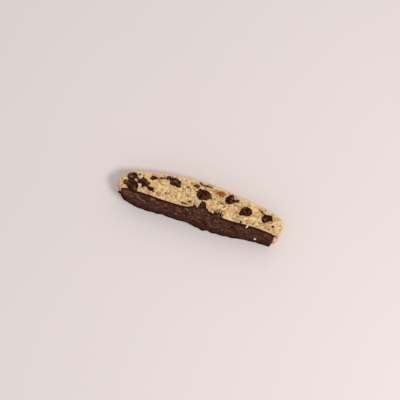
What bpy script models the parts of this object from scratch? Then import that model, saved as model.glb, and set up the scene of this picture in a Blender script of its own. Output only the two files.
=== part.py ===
"""Chocolate chip biscotti, dipped in dark chocolate along the flat base of the loaf.

The slice lies on one of its two cut faces. X runs along the slice, Y from the dipped
base (-Y) to the domed crown (+Y), and Z through the thickness, from the cut face it
lies on to the cut face that looks up.

Sizes are in millimetres; meshes are made in metres.
"""

import math
from collections import namedtuple

import bmesh
import bpy
from mathutils import Vector, noise
from mathutils.geometry import delaunay_2d_cdt

MM = 0.001

# Driving dimensions.
THICKNESS = 18.0        # of the slice, between its cut faces
GAP = 0.3               # between any two touching pieces
COAT_SKIN = 0.9         # chocolate on the upper cut face
COAT_UNDERSKIN = 0.6    # chocolate on the lower cut face, pressed flat where it lies
COAT_WALL = 1.2         # chocolate on the base of the loaf
COAT_CORNER = 2.5       # radius of the coat's lower corner at its right end
EDGE_ROUND = 0.8        # rounding of the crust's edges
CROWN_ROUND = 1.7       # rounding of the upper edge along the crown
KNIFE_SLANT = 1.3       # the cut leans: the lower cut face lies this much further to -X
CHIP_DEPTH = 5.2        # how far a cut chip reaches into the crumb
CHIP_PROUD = 0.15       # how far a chip stands out of the crumb
FOOT_CLEAR = 0.15       # how far a chip in the lower face stays above the table

# How finely curves and faces are divided.
LOAF_POINTS = 104
COAT_STEPS = 42
CHIP_SIDES = 13
FACE_STEP = 5.5         # between the points of the upper cut face
DIP_STEP = 4.0          # between the points of the dip's upper edge
SPLASH_STEP = 0.85      # the same at the splash

# The cross-section of the loaf, counter-clockwise from its right tip.
LOAF_SECTION = (
    (74.5, 0.6), (74.1, 3.9), (72.4, 6.6), (68.9, 8.9), (63.0, 11.2), (54.5, 13.2),
    (47.0, 14.1), (39.5, 15.3), (33.0, 15.7), (27.0, 15.5), (21.0, 17.6), (14.5, 17.7),
    (7.5, 18.0), (0.5, 18.8), (-5.5, 18.7), (-12.5, 18.4), (-20.5, 18.1), (-28.5, 17.1),
    (-36.5, 15.2), (-44.5, 13.5), (-52.5, 12.3), (-60.5, 10.1), (-66.0, 8.1), (-68.9, 5.9),
    (-70.6, 3.2), (-72.6, 1.2), (-73.9, -1.6), (-73.9, -4.4), (-73.0, -7.2), (-71.2, -8.9),
    (-68.1, -10.4), (-65.4, -12.4), (-62.5, -13.9), (-59.7, -14.8), (-54.0, -16.0),
    (-48.0, -16.6), (-36.5, -16.4), (-9.5, -16.1), (-0.5, -16.9), (7.5, -17.5),
    (18.5, -17.4), (29.5, -16.9), (39.0, -15.4), (49.0, -14.5), (59.0, -13.6),
    (67.5, -13.4), (71.2, -12.4), (73.0, -10.0), (73.6, -7.0), (74.2, -3.2),
)

# The upper edge of the dip, from left to right, without the splash that stands above it.
DIP_LEFT, DIP_RIGHT = -69.3, 68.9
DIP_LINE = ((-69.3, -9.2), (-66.0, -8.2), (-48.5, -7.8), (-28.5, -8.2), (-14.5, -7.8),
            (7.5, -7.3), (27.5, -7.4), (35.5, -6.9), (49.5, -6.3), (61.5, -6.7), (68.9, -8.0))
# The splash: distance along X, and height above the dip line.
SPLASH = ((-13.0, 0.0), (-9.5, 0.7), (-6.5, 0.9), (-5.6, 2.0), (-4.9, 3.8), (-3.8, 4.3),
          (-2.8, 3.2), (-1.9, 1.6), (-1.3, 2.4), (-0.6, 5.8), (0.5, 8.3), (1.9, 9.1),
          (3.3, 8.2), (4.7, 6.0), (5.9, 3.9), (7.5, 3.0), (8.9, 1.7), (10.3, 2.6),
          (11.5, 2.0), (12.5, 1.0), (13.7, 2.4), (14.8, 3.5), (15.9, 2.5), (17.3, 3.8),
          (18.9, 3.9), (20.1, 2.3), (21.3, 0.4), (23.5, 0.0))

# How a chip shows where the knife went through it: radii at equal angles, from +X on.
BLOCK = (6.8, 5.6, 4.2, 6.0, 6.2, 5.4, 4.2, 3.8)
WEDGE = (4.0, 3.7, 3.0, 4.4, 5.4, 4.4, 2.6, 4.8)
DOME = (5.2, 4.4, 3.6, 3.8, 4.2, 5.8, 3.3, 4.0)
KISS = (3.2, 3.0, 4.8, 4.2, 4.2, 4.8, 3.6, 3.2)
KIDNEY = (3.8, 4.2, 3.0, 3.7, 4.0, 4.8, 3.4, 1.9)
STAR = (4.2, 2.3, 2.8, 3.2, 4.8, 4.4, 4.2, 4.4)
EGG = (4.2, 4.1, 2.7, 3.0, 3.2, 4.0, 3.1, 3.2)
STUMP = (4.6, 4.4, 3.6, 3.9, 4.3, 4.0, 3.5, 4.3)
SLIVER = (3.1, 1.9, 1.1, 1.4, 2.8, 2.1, 1.2, 1.6)
SCRAP = (1.6, 1.3, 1.2, 1.5, 1.7, 1.3, 1.2, 1.4)

# A chip that the cut went through: its place, how it is turned, and its section.
Chip = namedtuple("Chip", "name x y turn section")
UPPER_CHIPS = (
    Chip("chip_left_high", -64.1, 3.4, 0, EGG),
    Chip("chip_left_low", -60.9, -3.9, 0, STUMP),
    Chip("chip_left_inner", -52.2, 2.0, 0, STAR),
    Chip("chip_left_tail", -45.4, -2.2, -22, SLIVER),
    Chip("chip_rim_sliver", -45.7, 7.8, 8, SLIVER),
    Chip("chip_crown_left", -26.3, 10.1, 0, WEDGE),
    Chip("chip_crown_scrap", -33.3, 11.8, 40, SCRAP),
    Chip("chip_middle_scrap", -7.4, 12.8, 10, SCRAP),
    Chip("chip_large", 0.3, 6.6, 0, BLOCK),
    Chip("chip_kiss", 23.7, 10.0, 0, KISS),
    Chip("chip_kiss_tail", 28.8, 10.8, 200, SCRAP),
    Chip("chip_round", 39.2, 4.6, 0, DOME),
    Chip("chip_right", 58.4, 4.1, 0, KIDNEY),
)
AMBER_BITS = (
    Chip("amber_bit_left", -67.8, -3.0, 90, SCRAP),
    Chip("amber_bit_crown", 14.2, 12.5, 172, SLIVER),
)
LOWER_CHIPS = (
    Chip("chip_under_a", -60.5, 0.0, 130, DOME),
    Chip("chip_under_b", -45.0, 5.6, 60, EGG),
    Chip("chip_under_c", -34.5, -2.4, 200, KISS),
    Chip("chip_under_d", 6.5, 7.8, 250, BLOCK),
    Chip("chip_under_e", 16.0, -2.6, 90, SLIVER),
    Chip("chip_under_f", 33.5, 7.0, 170, WEDGE),
    Chip("chip_under_g", 45.5, -1.4, 40, KIDNEY),
    Chip("chip_under_h", 60.5, 0.6, 300, STUMP),
)

# Chips baked into the crust of the crown: distance along X, height, and size.
CrustChip = namedtuple("CrustChip", "name x z length height")
CRUST_CHIPS = (
    CrustChip("chip_crust_a", -52.5, 8.6, 8.4, 5.8),
    CrustChip("chip_crust_b", -16.0, 9.6, 9.2, 6.2),
    CrustChip("chip_crust_c", 9.5, 6.8, 5.4, 4.6),
    CrustChip("chip_crust_d", 31.0, 10.4, 9.0, 6.6),
    CrustChip("chip_crust_e", 52.0, 7.6, 7.6, 5.6),
)

# Air holes in the crumb: place and size, for the upper and for the lower face.
Hole = namedtuple("Hole", "x y length width turn")
UPPER_HOLES = (
    Hole(-58.5, 7.4, 2.2, 1.8, 0), Hole(-32.0, -1.1, 2.0, 1.6, 20),
    Hole(-14.7, 9.2, 2.6, 1.8, -30), Hole(-9.8, -2.2, 3.6, 1.4, 22),
    Hole(-14.1, -5.2, 5.0, 1.3, -6), Hole(17.5, 4.6, 2.8, 1.6, -10),
    Hole(37.5, -3.8, 1.8, 1.5, 0), Hole(65.1, -0.6, 2.0, 1.7, 50),
)
LOWER_HOLES = (
    Hole(-49.5, -3.2, 3.0, 1.6, 10), Hole(-22.5, 7.4, 2.4, 2.0, 40),
    Hole(-19.5, -4.0, 2.0, 1.6, 0), Hole(-4.5, 3.4, 3.4, 1.6, -25),
    Hole(26.5, 0.8, 2.4, 1.8, 60), Hole(49.5, 7.2, 2.2, 1.6, 0),
)
HOLE_DEPTH = 1.4


def clear_scene():
    """Remove whatever the start-up scene holds."""
    for thing in list(bpy.data.objects):
        bpy.data.objects.remove(thing, do_unlink=True)


def food_material(name, colour, roughness):
    """A plain Principled material in a linear colour."""
    material = bpy.data.materials.new(name)
    material.use_nodes = True
    shader = material.node_tree.nodes["Principled BSDF"]
    shader.inputs["Base Color"].default_value = (*colour, 1.0)
    shader.inputs["Roughness"].default_value = roughness
    shader.inputs["Metallic"].default_value = 0.0
    return material


# Curves and rings of points.

def curve_between(p0, p1, p2, p3, t):
    """The point at t between p1 and p2, on a Catmull-Rom curve through all four."""
    return 0.5 * (2 * p1 + (p2 - p0) * t + (2 * p0 - 5 * p1 + 4 * p2 - p3) * t ** 2
                  + (3 * p1 - p0 - 3 * p2 + p3) * t ** 3)


def closed_curve(anchors, points):
    """A smooth closed curve through the anchors, as equally spaced points."""
    anchors = [Vector(anchor) for anchor in anchors]
    count = len(anchors)
    fine_steps = 12
    fine = []
    for i in range(count):
        four = [anchors[(i + k) % count] for k in (-1, 0, 1, 2)]
        fine += [curve_between(*four, k / fine_steps) for k in range(fine_steps)]
    lengths = [(fine[(i + 1) % len(fine)] - fine[i]).length for i in range(len(fine))]
    ring, walked, i = [], 0.0, 0
    for k in range(points):
        target = sum(lengths) * k / points
        while walked + lengths[i] < target:
            walked += lengths[i]
            i += 1
        ring.append(fine[i].lerp(fine[(i + 1) % len(fine)], (target - walked) / lengths[i]))
    return ring


def grown(ring, distance):
    """The ring with each point moved outward by distance, or inward if it is negative."""
    moved = []
    for i, point in enumerate(ring):
        along = ring[(i + 1) % len(ring)] - ring[i - 1]
        outward = Vector((along.y, -along.x)).normalized()
        moved.append(point + outward * distance)
    return moved


def inside(ring, point, margin):
    """Whether a point lies inside the ring, at least margin from its corners."""
    if min((corner - point).length for corner in ring) < margin:
        return False
    crossings = 0
    for i, corner in enumerate(ring):
        before = ring[i - 1]
        if (corner.y > point.y) != (before.y > point.y):
            share = (point.y - corner.y) / (before.y - corner.y)
            crossings += point.x < corner.x + share * (before.x - corner.x)
    return crossings % 2 == 1


# Meshes.

def add_ring(bm, ring, height):
    """Vertices for a ring of points; height is a number or a function of x and y."""
    level = height if callable(height) else (lambda x, y: height)
    return [bm.verts.new(Vector((p.x, p.y, level(p.x, p.y))) * MM) for p in ring]


def bridge(bm, lower, upper):
    """Quads between two rings of vertices, facing outward if upper is the higher one."""
    for i in range(len(lower)):
        bm.faces.new((lower[i - 1], lower[i], upper[i], upper[i - 1]))


def stack(bm, rings):
    """A closed solid through rings of vertices, from the lowest to the highest."""
    for lower, upper in zip(rings, rings[1:]):
        bridge(bm, lower, upper)
    bm.faces.new(reversed(rings[0]))
    bm.faces.new(rings[-1])


def make_object(name, bm, material=None):
    """A smooth-shaded object from a bmesh, linked to the scene."""
    bm.normal_update()
    bmesh.ops.triangulate(bm, faces=[f for f in bm.faces if len(f.verts) > 4])
    mesh = bpy.data.meshes.new(name)
    bm.to_mesh(mesh)
    bm.free()
    mesh.shade_smooth()
    mesh.set_sharp_from_angle(angle=math.radians(35))
    thing = bpy.data.objects.new(name, mesh)
    bpy.context.scene.collection.objects.link(thing)
    if material:
        mesh.materials.append(material)
    return thing


def make_cutters(name, meshes):
    """A collection of hidden cutters, one for each bmesh."""
    cutters = bpy.data.collections.new(name)
    bpy.context.scene.collection.children.link(cutters)
    for i, bm in enumerate(meshes):
        cutter = make_object(f"{name}_{i}", bm)
        bpy.context.scene.collection.objects.unlink(cutter)
        cutters.objects.link(cutter)
        cutter.hide_render = True
        cutter.display_type = "WIRE"
    return cutters


def cut(thing, cutters):
    """Take a collection of cutters away from an object."""
    boolean = thing.modifiers.new(cutters.name, "BOOLEAN")
    boolean.operation = "DIFFERENCE"
    boolean.solver = "EXACT"
    boolean.operand_type = "COLLECTION"
    boolean.collection = cutters


# The crumb and its crust.

def unevenness(x, y, z, size, seed):
    """Smooth noise from -1 to 1, whose lumps are about size across."""
    return noise.noise(Vector((x / size, y / size, z / size + seed)))


def height_along(anchors, x):
    """The Y at x of a smooth curve through anchors that run from left to right."""
    anchors = [Vector(anchor) for anchor in anchors]
    last = len(anchors) - 1
    x = min(max(x, anchors[0].x), anchors[last].x)
    i = max(k for k in range(last) if anchors[k].x <= x)
    t = (x - anchors[i].x) / (anchors[i + 1].x - anchors[i].x)
    four = [anchors[min(max(i + k, 0), last)] for k in (-1, 0, 1, 2)]
    return curve_between(*four, t).y


def dip_line(x):
    """The Y of the dip's even upper edge at x."""
    return height_along(DIP_LINE, x)


def splash_height(x):
    """How far the chocolate stands above the dip line at x."""
    return height_along(SPLASH, x) if SPLASH[0][0] < x < SPLASH[-1][0] else 0.0


def loaf_ring():
    """The outline of the cut faces, slightly uneven as baked."""
    ring = closed_curve(LOAF_SECTION, LOAF_POINTS)
    return [point + Vector((0.0, 0.25 * unevenness(*point, 0.0, 9.0, 2.0))) for point in ring]


def face_height(x, y):
    """Height of the upper cut face: level under the coat, slightly uneven above it."""
    above_coat = y - dip_line(x) - splash_height(x)
    return THICKNESS + 0.3 * ramp(above_coat, 1.0, 5.0) * unevenness(x, y, 0.0, 11.0, 5.0)


def crust_lump_height(x, y, z):
    """How far the crust stands out of its outline: lumpy at the crown, level at the base."""
    return 0.45 * crown_share(y) * unevenness(x, y, z, 7.0, 3.0)


def ramp(value, low, high):
    """0 up to low, 1 from high on, and smooth between."""
    share = min(max((value - low) / (high - low), 0.0), 1.0)
    return share * share * (3.0 - 2.0 * share)


def slanted(ring, z):
    """The ring moved along X to where the leaning cut puts it at height z."""
    lean = Vector((KNIFE_SLANT * (z / THICKNESS - 1.0), 0.0))
    return [point + lean for point in ring]


def crown_share(y):
    """0 along the base, 1 along the crown."""
    return ramp(y, -6.0, 4.0)


def rounded_in(ring, part):
    """The ring drawn in by a part of the rounding of its upper edge."""
    widths = [EDGE_ROUND + (CROWN_ROUND - EDGE_ROUND) * crown_share(p.y) for p in ring]
    return [p.lerp(q, part * width) for p, q, width in zip(ring, grown(ring, -1.0), widths)]


def crust_wall(bm, ring):
    """Rings up the crust, rounded at both edges and lumpy between."""
    foot = slanted(ring, 0.0)
    rings = [add_ring(bm, grown(foot, -EDGE_ROUND), 0.0),
             add_ring(bm, grown(foot, -0.15 * EDGE_ROUND), EDGE_ROUND)]
    for share in (0.33, 0.66):
        z = share * THICKNESS
        lumpy = [p + Vector((0.0, crust_lump_height(p.x, p.y, z))) for p in slanted(ring, z)]
        rings.append(add_ring(bm, lumpy, z))
    for part, drop in ((0.1, 1.6), (0.42, 0.55)):
        z = THICKNESS - drop * EDGE_ROUND
        rings.append(add_ring(bm, rounded_in(slanted(ring, z), part), z))
    rings.append(add_ring(bm, rounded_in(ring, 1.0), face_height))
    return rings


def crumb_face(bm, rim):
    """The upper cut face: triangles through a staggered grid of points inside its rim."""
    border = [vert.co.xy / MM for vert in rim]
    points = list(border)
    row, y = 0, min(p.y for p in border)
    while y < max(p.y for p in border):
        x = min(p.x for p in border) + (row % 2) * FACE_STEP / 2
        while x < max(p.x for p in border):
            if inside(border, Vector((x, y)), 0.55 * FACE_STEP):
                points.append(Vector((x, y)))
            x += FACE_STEP
        row, y = row + 1, y + FACE_STEP * math.sqrt(0.75)
    border_edges = [(i, (i + 1) % len(border)) for i in range(len(border))]
    filled = delaunay_2d_cdt(points, border_edges, [list(range(len(border)))], 1, 0.001)
    places, triangles, sources = filled[0], filled[2], filled[3]
    verts = []
    for place, source in zip(places, sources):
        on_rim = [i for i in source if i < len(border)]
        if on_rim:
            verts.append(rim[on_rim[0]])
        else:
            height = face_height(place.x, place.y)
            verts.append(bm.verts.new(Vector((place.x, place.y, height)) * MM))
    for triangle in triangles:
        bm.faces.new([verts[i] for i in triangle])


def make_cookie(material):
    """The slice of crumb with its crust, before its chips and coat are let in."""
    bm = bmesh.new()
    rings = crust_wall(bm, loaf_ring())
    for lower, upper in zip(rings, rings[1:]):
        bridge(bm, lower, upper)
    bm.faces.new(reversed(rings[0]))
    crumb_face(bm, rings[-1])
    return make_object("cookie", bm, material)


# Chips and the pockets they sit in.

def chip_ring(chip, size, grow):
    """The outline of a chip's section, scaled by size and then grown outward."""
    count = len(chip.section)
    corners = []
    for k, radius in enumerate(chip.section):
        angle = math.radians(chip.turn) + 2 * math.pi * k / count
        corners.append(radius * size * Vector((math.cos(angle), math.sin(angle))))
    ring = grown(closed_curve(corners, CHIP_SIDES), grow)
    return [Vector((chip.x, chip.y)) + point for point in ring]


def sunk_chip(chip, face, direction, proud, grow):
    """A chip cut through at a face: it bulges a little below it and is round at its end.

    direction is -1 for a chip that reaches down from the upper face and 1 for one that
    reaches up from the lower face.
    """
    bm = bmesh.new()
    depth = min(CHIP_DEPTH, 1.3 * min(chip.section) + 1.2) + grow
    levels = ((0.0, 1.0), (0.45, 0.98), (0.8, 0.72), (1.0, 0.36))
    rings = []
    for share, size in levels:
        z = face + direction * share * depth if share else face - direction * proud
        rings.append(add_ring(bm, chip_ring(chip, size, grow), z))
    stack(bm, rings if direction > 0 else rings[::-1])
    return bm


def crust_frame(chip, ring):
    """The point of the crown where a crust chip sits."""
    crown = [p for p in ring if p.y > 0]
    nearest = sorted(crown, key=lambda p: abs(p.x - chip.x))[:2]
    y = sum(p.y for p in nearest) / 2
    return Vector((chip.x, y, chip.z))


def crust_lump(chip, ring, grow):
    """A whole chip half sunk in the crust."""
    bm = bmesh.new()
    bmesh.ops.create_icosphere(bm, subdivisions=2, radius=1.0)
    centre = crust_frame(chip, ring) - Vector((0.0, 1.6, 0.0))
    radii = Vector((chip.length / 2 + grow, 2.6 + grow, chip.height / 2 + grow))
    for vert in bm.verts:
        uneven = 1.0 + 0.14 * noise.noise(vert.co * 1.3 + Vector((chip.x, 0.0, 0.0)))
        vert.co = (centre + vert.co * radii * uneven) * MM
    return bm


def air_hole(hole, face, direction):
    """A shallow dent with a round bottom, cut from a face."""
    bm = bmesh.new()
    turn = math.radians(hole.turn)
    sides = 8
    rings = []
    for share, size in ((-0.6, 1.15), (0.4, 0.85), (1.0, 0.35)):
        ring = []
        for k in range(sides):
            angle = 2 * math.pi * k / sides
            along = size * hole.length / 2 * math.cos(angle)
            across = size * hole.width / 2 * math.sin(angle)
            ring.append(Vector((hole.x + along * math.cos(turn) - across * math.sin(turn),
                                hole.y + along * math.sin(turn) + across * math.cos(turn))))
        rings.append(add_ring(bm, ring, face + direction * share * HOLE_DEPTH))
    stack(bm, rings if direction > 0 else rings[::-1])
    return bm


def make_chips(ring, chocolate, amber):
    """Every chip and amber bit as an object of its own."""
    for chip in UPPER_CHIPS:
        make_object(chip.name, sunk_chip(chip, THICKNESS, -1, CHIP_PROUD, 0.0), chocolate)
    for bit in AMBER_BITS:
        make_object(bit.name, sunk_chip(bit, THICKNESS, -1, CHIP_PROUD, 0.0), amber)
    for chip in LOWER_CHIPS:
        make_object(chip.name, sunk_chip(chip, 0.0, 1, -FOOT_CLEAR, 0.0), chocolate)
    for chip in CRUST_CHIPS:
        make_object(chip.name, crust_lump(chip, ring, 0.0), chocolate)


def make_pockets(ring):
    """Cutters for the chips' pockets, a gap larger than the chips, and the air holes."""
    through = 2.0
    pockets = [sunk_chip(c, THICKNESS, -1, through, GAP) for c in UPPER_CHIPS + AMBER_BITS]
    pockets += [sunk_chip(c, 0.0, 1, through, GAP) for c in LOWER_CHIPS]
    pockets += [crust_lump(c, ring, GAP) for c in CRUST_CHIPS]
    pockets += [air_hole(h, THICKNESS, -1) for h in UPPER_HOLES]
    pockets += [air_hole(h, 0.0, 1) for h in LOWER_HOLES]
    return make_cutters("pocket", pockets)


# The dipped coat.

def base_y(ring, x):
    """The Y of the ring's lower side at x."""
    for before, point in zip(ring, ring[1:] + ring[:1]):
        if before.x <= x <= point.x:
            return before.y + (point.y - before.y) * (x - before.x) / (point.x - before.x)
    raise ValueError(f"x {x} is past the ends of the ring")


def dip_points():
    """Steps along the dip's upper edge, close together where the splash is."""
    xs, x = [], DIP_LEFT
    while x < DIP_RIGHT:
        xs.append(x)
        x += SPLASH_STEP if SPLASH[2][0] < x < SPLASH[-2][0] else DIP_STEP
    return xs + [DIP_RIGHT]


def coat_ring(ring, wall, rise):
    """The outline of the coated stretch: round the base, then back along the dip line.

    wall is how far it stands out of the loaf, and rise scales the splashes.
    """
    outer = grown(ring, wall)
    length = DIP_RIGHT - COAT_CORNER - DIP_LEFT
    base = []
    for i in range(COAT_STEPS + 1):
        x = DIP_LEFT + length * i / COAT_STEPS
        base.append(Vector((x, base_y(outer, x))))
    centre = base[-1] + Vector((0.0, COAT_CORNER))
    for degrees in (30, 60, 90):
        angle = math.radians(degrees)
        base.append(centre + COAT_CORNER * Vector((math.sin(angle), -math.cos(angle))))
    edge = [Vector((x, dip_line(x) + rise * splash_height(x))) for x in dip_points()]
    return base + edge[::-1]


def foot_bulge(x):
    """How far the set chocolate spreads at the table, in uneven scallops."""
    return 0.25 + 0.22 * math.sin(x / 3.1) + 0.16 * math.sin(x / 1.37 + 1.0)


def make_coat(ring, material):
    """The coat: a skin on each cut face and a wall over the base, open at both ends."""
    top = THICKNESS + GAP + COAT_SKIN
    full = GAP + COAT_WALL
    bm = bmesh.new()
    foot = [p - Vector((0.0, foot_bulge(p.x) * (p.y < -9.0))) for p in coat_ring(ring, full, 0.15)]
    waist = 0.4 * THICKNESS
    shoulder = coat_ring(ring, full, 1.0)
    rings = [
        add_ring(bm, slanted(grown(foot, -0.3), 0.0), 0.0),
        add_ring(bm, slanted(foot, 1.2), 1.2),
        add_ring(bm, slanted(coat_ring(ring, full, 0.5), waist), waist),
        add_ring(bm, slanted(shoulder, top - 0.6), top - 0.6),
        add_ring(bm, slanted(grown(shoulder, -0.35), top), top),
    ]
    stack(bm, rings)
    coat = make_object("chocolate_coat", bm, material)

    core = bmesh.new()
    stack(core, [add_ring(core, grown(slanted(ring, z), GAP), z)
                 for z in (COAT_UNDERSKIN, THICKNESS + GAP)])
    cut(coat, make_cutters("coat_core", [core]))
    return coat


def make_coat_seat(ring):
    """A cutter that lets the coat's lower skin into the lower cut face."""
    seat = bmesh.new()
    outline = slanted(grown(coat_ring(ring, 4.0, 0.15), GAP), 0.0)
    stack(seat, [add_ring(seat, outline, -1.0), add_ring(seat, outline, COAT_UNDERSKIN + GAP)])
    return make_cutters("coat_seat", [seat])


def stand_on_origin():
    """Move the whole part so that the middle of its underside is at the origin."""
    stand = bpy.data.objects.new("stand", None)
    bpy.context.scene.collection.objects.link(stand)
    bpy.context.view_layer.update()
    depsgraph = bpy.context.evaluated_depsgraph_get()
    corners = []
    for thing in bpy.data.objects:
        if thing.type == "MESH":
            thing.parent = stand
            if not thing.hide_render:
                corners += [Vector(c) for c in thing.evaluated_get(depsgraph).bound_box]
    for axis in (0, 1):
        middle = (min(c[axis] for c in corners) + max(c[axis] for c in corners)) / 2
        stand.location[axis] = -middle


def main():
    clear_scene()
    crumb = food_material("baked_crumb", (0.56, 0.36, 0.18), 0.9)
    coating = food_material("coating_chocolate", (0.062, 0.030, 0.020), 0.45)
    chip_chocolate = food_material("chip_chocolate", (0.045, 0.014, 0.008), 0.4)
    amber = food_material("amber_bit", (0.30, 0.11, 0.03), 0.5)
    ring = loaf_ring()
    cookie = make_cookie(crumb)
    cut(cookie, make_coat_seat(ring))
    cut(cookie, make_pockets(ring))
    make_coat(ring, coating)
    make_chips(ring, chip_chocolate, amber)
    stand_on_origin()


main()
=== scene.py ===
"""How the slice of biscotti looks: its crumb and crust, cut chips and dipped coat.

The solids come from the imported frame. Each is remeshed finely and takes its relief in
millimetres. Values stored on the mesh along with the relief steer the colours.
"""
import math
from collections import namedtuple

import bmesh
import bpy
import numpy as np
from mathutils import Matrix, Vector


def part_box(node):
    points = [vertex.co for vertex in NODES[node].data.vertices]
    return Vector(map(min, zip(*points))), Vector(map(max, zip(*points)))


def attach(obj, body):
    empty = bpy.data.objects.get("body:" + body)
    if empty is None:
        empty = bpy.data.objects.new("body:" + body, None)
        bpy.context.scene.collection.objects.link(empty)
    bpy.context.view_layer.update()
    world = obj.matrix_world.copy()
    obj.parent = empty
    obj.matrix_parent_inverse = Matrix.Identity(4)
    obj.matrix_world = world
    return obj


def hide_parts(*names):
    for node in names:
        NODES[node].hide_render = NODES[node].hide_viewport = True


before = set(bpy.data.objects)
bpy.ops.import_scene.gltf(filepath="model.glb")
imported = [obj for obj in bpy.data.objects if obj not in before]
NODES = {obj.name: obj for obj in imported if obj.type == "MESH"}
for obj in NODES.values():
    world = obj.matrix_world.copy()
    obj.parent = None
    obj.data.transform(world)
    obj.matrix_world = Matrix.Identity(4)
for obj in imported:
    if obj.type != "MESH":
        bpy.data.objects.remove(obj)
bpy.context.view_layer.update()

MM = 0.001
UPPER_CHIPS = ("chip_left_high", "chip_left_low", "chip_left_inner", "chip_left_tail",
               "chip_rim_sliver", "chip_crown_left", "chip_crown_scrap", "chip_middle_scrap",
               "chip_large", "chip_kiss", "chip_kiss_tail", "chip_round", "chip_right")
UPPER_BITS = ("amber_bit_left", "amber_bit_crown")
LOWER_CHIPS = tuple(sorted(name for name in NODES if name.startswith("chip_under_")))
CRUST_CHIPS = tuple(sorted(name for name in NODES if name.startswith("chip_crust_")))

# Heights and places in the frame, in millimetres.
FACE = 18.0                     # the upper cut face
RIM = 16.7                      # where the upper cut face begins to round over
FOOT = 0.8                      # the same at the lower cut face
RESTING = 0.4                   # below this height no relief stands out
COAT_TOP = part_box("chocolate_coat")[1].z / MM       # the flat top of the coat
COAT_INNER_TOP = FACE + 0.3     # the coat's inner face over the upper cut face
COAT_INNER_FOOT = 0.6           # its inner face under the lower one
COAT_MIDDLE = -9.6              # in Y, between the two long edges of its flat top
COAT_BACK = -9.0                # in Y: its outer wall lies wholly in front of this
WALL_HALF = 8.4                 # half the height of the crust's walls, without their rims
SAME_LEVEL = 0.05               # heights that differ by less count as one

# The chips: where the fillings of their pockets end, how far the corners of a pocket lie from
# its chip's box, and the lowest height of the chips in the lower cut face.
FILL_TOP = FACE - 0.02
POCKET_MARGIN = 0.8
CHIP_FOOT = 0.05

# How far pieces reach into the crumb, so that no gap shows round them.
POCKET_FILL = 0.5               # the fillings of the chips' pockets
COAT_OVERLAP = 0.6              # the coat, from above and from the front
FOOT_OVERLAP = 0.5              # the coat, from below

# The size of the quads that each skin is remade with, in millimetres, and the rounds of
# smoothing after that.
CRUMB_VOXEL = 0.42
COAT_VOXEL = 0.4
CHIP_VOXEL = 0.3
SMOOTHING = 2

# Camera: the angle it looks from, in degrees, then in metres its distance from the spot that it
# looks at, the stretch that the picture's width covers there, and that spot on the cut face.
VIEW_AZIMUTH, VIEW_ELEVATION = 18.4, 77.0
VIEW_DISTANCE = 1.0
VIEW_SPAN = 0.3452
VIEW_TARGET = Vector((-0.00115, 0.00188, 0.018))

# Light and floor, in metres apart from the gap: a lamp that looks at the origin, and the room.
KEY_PLACE = Vector((0.82, -0.20, 1.15))
KEY_SIZE = 0.42
KEY_POWER = 9.0
KEY_COLOUR = (1.0, 0.985, 0.965)
ROOM_COLOUR = (1.0, 0.99, 0.985, 1.0)
ROOM_STRENGTH = 0.62
FLOOR_HALF = 1.5
FLOOR_GAP = 0.02                # in millimetres, so that the floor and the slice don't share a plane

# Marks on the upper cut face, in millimetres: where each begins and ends, and half its width.
Stroke = namedtuple("Stroke", "x1 y1 x2 y2 half")

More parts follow.
